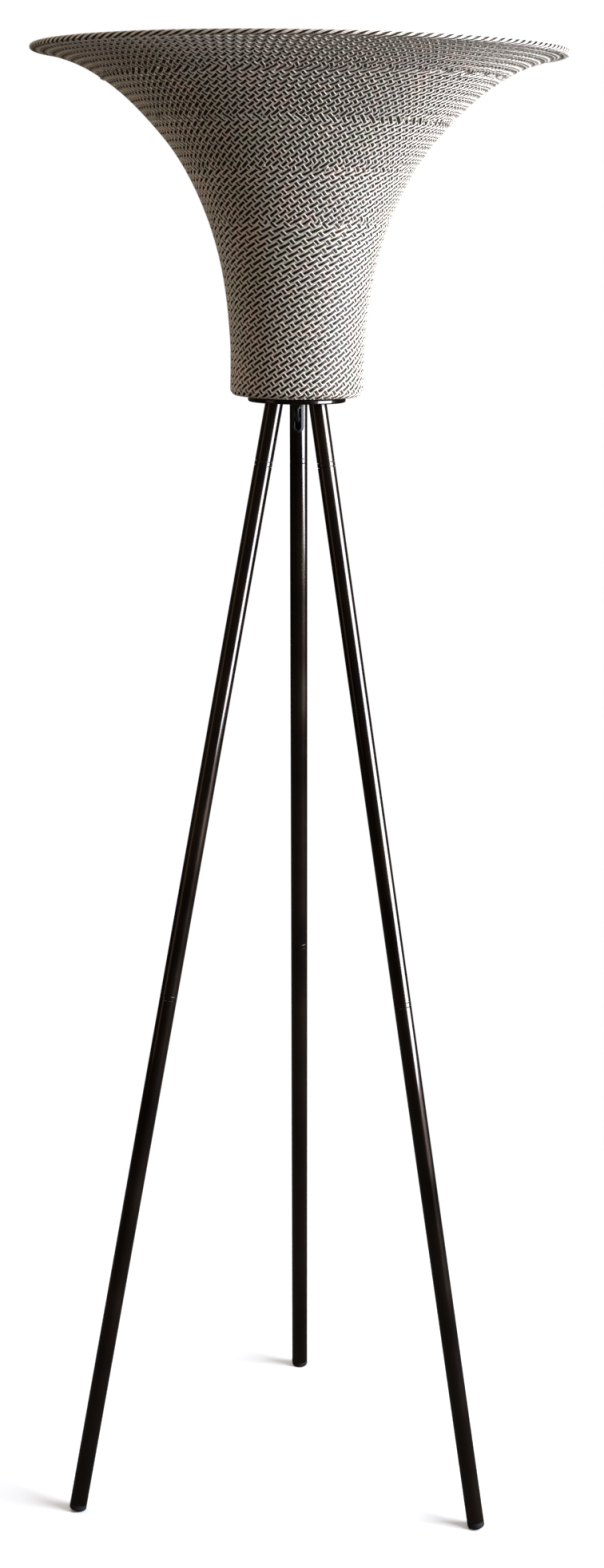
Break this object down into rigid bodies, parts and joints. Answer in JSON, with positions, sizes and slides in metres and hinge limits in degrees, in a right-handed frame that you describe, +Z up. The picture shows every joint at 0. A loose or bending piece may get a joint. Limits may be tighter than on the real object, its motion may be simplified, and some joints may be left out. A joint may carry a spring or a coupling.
{
  "type": "rattan floor lamp",
  "caption": "Floor lamp with a flared trumpet shade of woven rattan that throws light up, on a splayed tripod of dark bronze tube legs, with a screw-in bulb.",
  "frame": {"origin": "on the floor, under the middle of the shade", "axes": "+Z up; -Y is the front, with the left and right legs beside it and the third leg behind at +Y; +X is to the right seen from the front"},
  "size_m": [0.6442, 0.6442, 1.8404],
  "materials": {
    "bronze_tube": "gloss, dark bronze lacquer on steel",
    "foot_rubber": "satin",
    "zinc_hardware": "zinc plated",
    "bush_plastic": "satin",
    "woven_rattan": "plain weave of light strands with dark stripes",
    "bound_rattan": "bound edge, light and dark strands",
    "frame_wire": "satin black",
    "holder_plastic": "satin black",
    "core_ceramic": "ceramic white",
    "contact_brass": "bright",
    "insulator_plastic": "gloss black",
    "cap_nickel": "nickel plated",
    "housing_plastic": "satin white",
    "opal_globe": "opal white",
    "lead_sheath": "satin black"
  },
  "bodies": {
    "stand_and_shade": {"leg_stub_left": "bronze_tube", "leg_joint_upper_left": "bronze_tube", "leg_upper_tube_left": "bronze_tube", "leg_joint_lower_left": "bronze_tube", "leg_lower_tube_left": "bronze_tube", "foot_cap_left": "foot_rubber", "leg_stub_right": "bronze_tube", "leg_joint_upper_right": "bronze_tube", "leg_upper_tube_right": "bronze_tube", "leg_joint_lower_right": "bronze_tube", "leg_lower_tube_right": "bronze_tube", "foot_cap_right": "foot_rubber", "leg_stub_back": "bronze_tube", "leg_joint_upper_back": "bronze_tube", "leg_upper_tube_back": "bronze_tube", "leg_joint_lower_back": "bronze_tube", "leg_lower_tube_back": "bronze_tube", "foot_cap_back": "foot_rubber", "lead_slot_bush": "bush_plastic", "tripod_disc": "bronze_tube", "threaded_nipple": "zinc_hardware", "lower_washer": "zinc_hardware", "lower_nut": "zinc_hardware", "upper_washer": "zinc_hardware", "upper_nut": "zinc_hardware", "woven_skin": "woven_rattan", "rim_binding": "bound_rattan", "rim_wire": "frame_wire", "carrier_plate": "frame_wire", "frame_ring_base": "frame_wire", "frame_ring_1": "frame_wire", "frame_ring_2": "frame_wire", "frame_ring_3": "frame_wire", "frame_rib_1": "frame_wire", "frame_rib_2": "frame_wire", "frame_rib_3": "frame_wire", "frame_rib_4": "frame_wire", "frame_rib_5": "frame_wire", "frame_rib_6": "frame_wire", "holder_cap": "holder_plastic", "holder_body": "holder_plastic", "holder_core": "core_ceramic", "holder_thread_shell": "contact_brass", "holder_contact": "contact_brass", "internal_lead": "lead_sheath"},
    "bulb_core": {"bulb_contact": "contact_brass", "bulb_insulator": "insulator_plastic"},
    "bulb": {"bulb_screw_cap": "cap_nickel", "bulb_housing": "housing_plastic", "bulb_globe": "opal_globe"}
  },
  "joints": [
    {"name": "bulb_lift", "type": "slide", "parent": "stand_and_shade", "child": "bulb_core", "axis": [0, 0, 1], "range_m": [0, 0.01816]},
    {"name": "bulb_turn", "type": "hinge", "parent": "bulb_core", "child": "bulb", "pos_m": [0, 0, 1.4737], "axis": [0, 0, 1], "range_deg": [0, 1800]}
  ],
  "couplings": [
    {"joint": "bulb_lift", "follows": "bulb_turn", "m_per_rad": 0.00057773}
  ]
}
